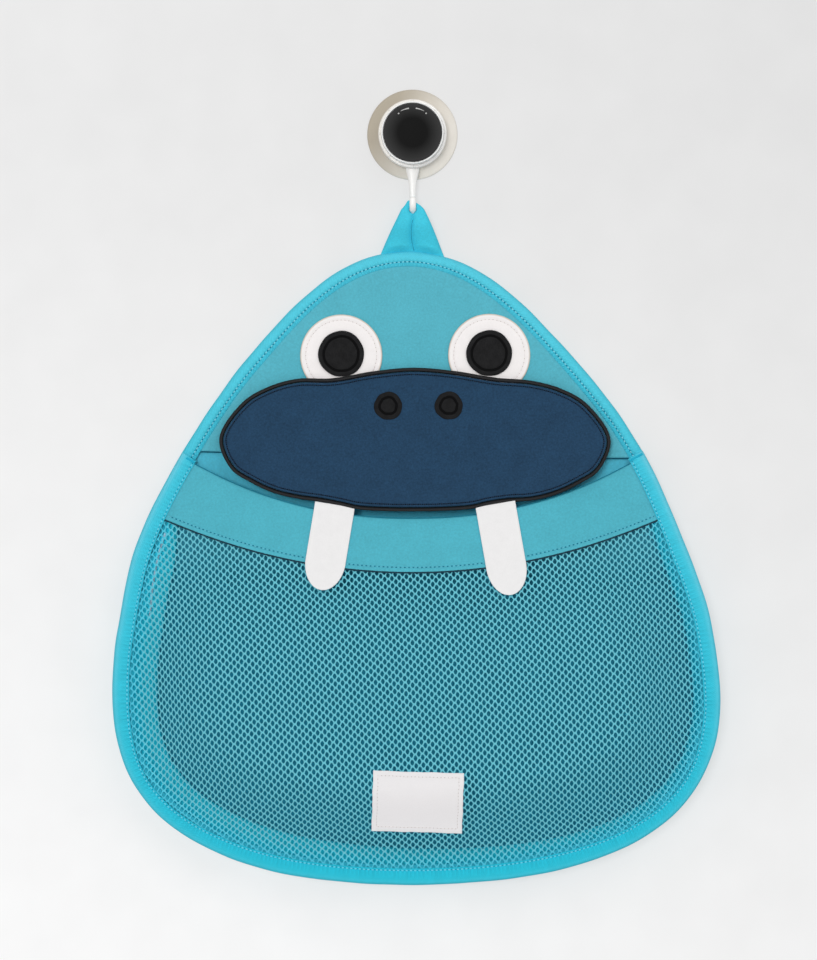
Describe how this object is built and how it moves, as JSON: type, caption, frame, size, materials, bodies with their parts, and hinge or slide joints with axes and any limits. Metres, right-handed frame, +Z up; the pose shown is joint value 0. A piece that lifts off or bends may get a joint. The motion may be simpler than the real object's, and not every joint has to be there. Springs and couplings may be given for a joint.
{
  "type": "bath toy organizer",
  "caption": "Hanging fabric bath toy organizer with an animal face, a gusseted mesh pocket under a lift-up muzzle flap, and a loop on a twist-lock suction hook",
  "frame": {"origin": "centre of the suction cup, in the plane of the wall it holds to", "axes": "+Z up, -Y out from the wall to the viewer, +X to the viewer's right; metres"},
  "size_m": [0.4, 0.0565, 0.5255],
  "materials": {
    "teal_fabric": "foam-backed knit, matte",
    "cyan_tape": "woven binding tape, slight sheen",
    "teal_net": "knitted diamond mesh",
    "navy_fabric": "foam-backed knit, matte",
    "black_fabric": "felt and piping cord, matte",
    "white_felt": "felt, matte",
    "cup_rubber": "soft ivory vinyl, semi-gloss",
    "white_plastic": "moulded, semi-gloss",
    "dark_plastic": "moulded, satin",
    "steel": "turned and stamped steel"
  },
  "bodies": {
    "wall_hook": {"suction_cup": "cup_rubber", "cup_stud": "steel", "hook_bracket": "white_plastic", "stud_clip": "steel"},
    "lock_washer": {"thrust_washer": "steel"},
    "lock_knob": {"lock_knob": "white_plastic", "knob_inlay": "dark_plastic"},
    "hanging_loop": {"hanging_loop": "cyan_tape"},
    "bag": {"back_panel": "teal_fabric", "face_panel": "teal_fabric", "back_binding": "cyan_tape", "pocket_gusset": "cyan_tape", "pocket_binding": "cyan_tape", "pocket_band": "teal_fabric", "mesh_pocket": "teal_net", "label": "white_felt", "eye_left": "white_felt", "eye_right": "white_felt", "pupil_left": "black_fabric", "pupil_right": "black_fabric"},
    "muzzle": {"muzzle_panel": "navy_fabric", "muzzle_lining": "navy_fabric", "muzzle_piping": "black_fabric", "nostril_left": "black_fabric", "nostril_right": "black_fabric"},
    "tusk_left": {"tusk_left": "white_felt"},
    "tusk_right": {"tusk_right": "white_felt"}
  },
  "joints": [
    {"name": "knob_lift", "type": "slide", "parent": "wall_hook", "child": "lock_washer", "axis": [0, -1, 0], "range_m": [0, 0.002]},
    {"name": "knob_turn", "type": "hinge", "parent": "lock_washer", "child": "lock_knob", "pos_m": [0, -0.02, 0], "axis": [0, -1, 0], "range_deg": [0, 90]},
    {"name": "loop_swing", "type": "hinge", "parent": "wall_hook", "child": "hanging_loop", "pos_m": [0, -0.0127, -0.0503], "axis": [0, -1, 0], "range_deg": [-25, 25]},
    {"name": "bag_tilt", "type": "hinge", "parent": "hanging_loop", "child": "bag", "pos_m": [0, -0.0083, -0.07735], "axis": [-1, 0, 0], "range_deg": [0, 60]},
    {"name": "muzzle_lift", "type": "hinge", "parent": "bag", "child": "muzzle", "pos_m": [0, -0.0109, -0.1547], "axis": [-1, 0, 0], "range_deg": [0, 70]},
    {"name": "tusk_left_swing", "type": "hinge", "parent": "muzzle", "child": "tusk_left", "pos_m": [-0.05313, -0.03039, -0.2458], "axis": [-0.9863, 0, 0.165], "range_deg": [0, 80]},
    {"name": "tusk_right_swing", "type": "hinge", "parent": "muzzle", "child": "tusk_right", "pos_m": [0.05313, -0.03039, -0.2458], "axis": [-0.9863, 0, -0.165], "range_deg": [0, 80]}
  ],
  "couplings": [
    {"joint": "knob_lift", "follows": "knob_turn", "m_per_rad": 0.0012732}
  ]
}
